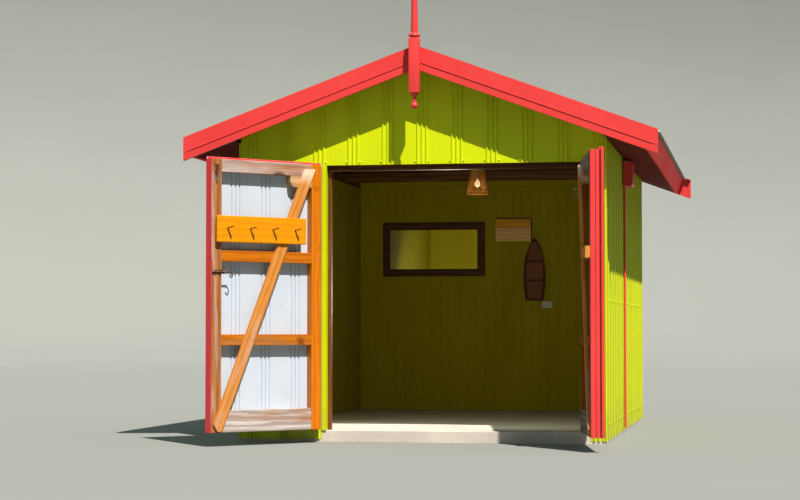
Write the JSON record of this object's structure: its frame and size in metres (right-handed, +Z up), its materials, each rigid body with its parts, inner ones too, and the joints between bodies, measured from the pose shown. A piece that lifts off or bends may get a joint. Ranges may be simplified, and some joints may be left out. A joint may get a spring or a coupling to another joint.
{
  "type": "beach hut",
  "caption": "Gabled timber-framed beach hut in ribbed steel sheet on a concrete slab, with barge boards, a turned finial and double ledged doors that swing outward",
  "frame": {"origin": "centre of the underside of the concrete slab, at ground level", "axes": "+Z up; the doors and the decorated gable face -Y; +X is to the right of someone looking at the doors; +Y runs along the ridge to the back"},
  "size_m": [4.2322, 6.3919, 4.139],
  "materials": {
    "concrete": "broom-finished concrete, weathered",
    "framing": "oiled softwood framing",
    "lime_sheet": "lime baked enamel on ribbed steel",
    "olive_lining": "grooved lining board, painted olive green",
    "roof_sheet": "galvanised corrugated steel",
    "red_timber": "gloss red paint on timber",
    "red_steel": "red baked enamel on folded steel",
    "rattan": "woven rattan",
    "lamp_glass": "frosted glass",
    "dark_timber": "dark stained timber",
    "mirror": "silvered glass",
    "pale_timber": "oiled pale timber",
    "white_plastic": "moulded white plastic",
    "hardware": "weathered zinc-plated steel",
    "door_timber": "softwood, part varnished and part weathered",
    "varnished_timber": "orange varnished softwood"
  },
  "bodies": {
    "hut": {"floor_slab": "concrete", "side_wall_frames": "framing", "back_wall_frame": "framing", "front_wall_frame": "framing", "gable_studs": "framing", "door_stops": "framing", "opening_trims": "lime_sheet", "right_wall_cladding": "lime_sheet", "left_wall_cladding": "lime_sheet", "front_gable_cladding": "lime_sheet", "front_pier_cladding": "lime_sheet", "back_wall_cladding": "lime_sheet", "corner_trims": "lime_sheet", "right_wall_lining": "olive_lining", "left_wall_lining": "olive_lining", "back_wall_lining": "olive_lining", "front_wall_lining": "olive_lining", "ridge_beam": "framing", "rafters": "framing", "tie_beams": "framing", "purlins": "framing", "right_roof_sheet": "roof_sheet", "left_roof_sheet": "roof_sheet", "ridge_cap": "roof_sheet", "eave_fascias": "red_timber", "eave_linings": "red_timber", "front_barges": "red_timber", "rear_barges": "red_timber", "barge_caps": "red_steel", "finial": "red_timber", "meter_box": "red_steel", "conduit": "red_steel", "lamp_shade": "rattan", "lamp_bulb": "lamp_glass", "mirror_frame": "dark_timber", "mirror_glass": "mirror", "wall_panel": "pale_timber", "boat_shelf": "dark_timber", "power_outlet": "white_plastic", "left_hinge_plates": "hardware", "right_hinge_plates": "hardware"},
    "left_door": {"left_door_sheet": "lime_sheet", "left_door_frame": "door_timber", "left_door_brace": "varnished_timber", "left_door_trim": "red_steel", "left_door_hinges": "hardware", "hook_board": "varnished_timber", "coat_hooks": "hardware", "door_bolts": "hardware"},
    "right_door": {"right_door_sheet": "lime_sheet", "right_door_frame": "door_timber", "right_door_brace": "varnished_timber", "right_door_trim": "red_steel", "right_door_hinges": "hardware", "right_hook": "hardware", "door_cover_strip": "red_timber"}
  },
  "joints": [
    {"name": "left_door_swing", "type": "hinge", "parent": "hut", "child": "left_door", "pos_m": [-0.867, -2.477, 0], "axis": [0, 0, -1], "range_deg": [-132.5, 17.5]},
    {"name": "right_door_swing", "type": "hinge", "parent": "hut", "child": "right_door", "pos_m": [1.465, -2.477, 0], "axis": [0, 0, 1], "range_deg": [-99.5, 40.5]}
  ]
}
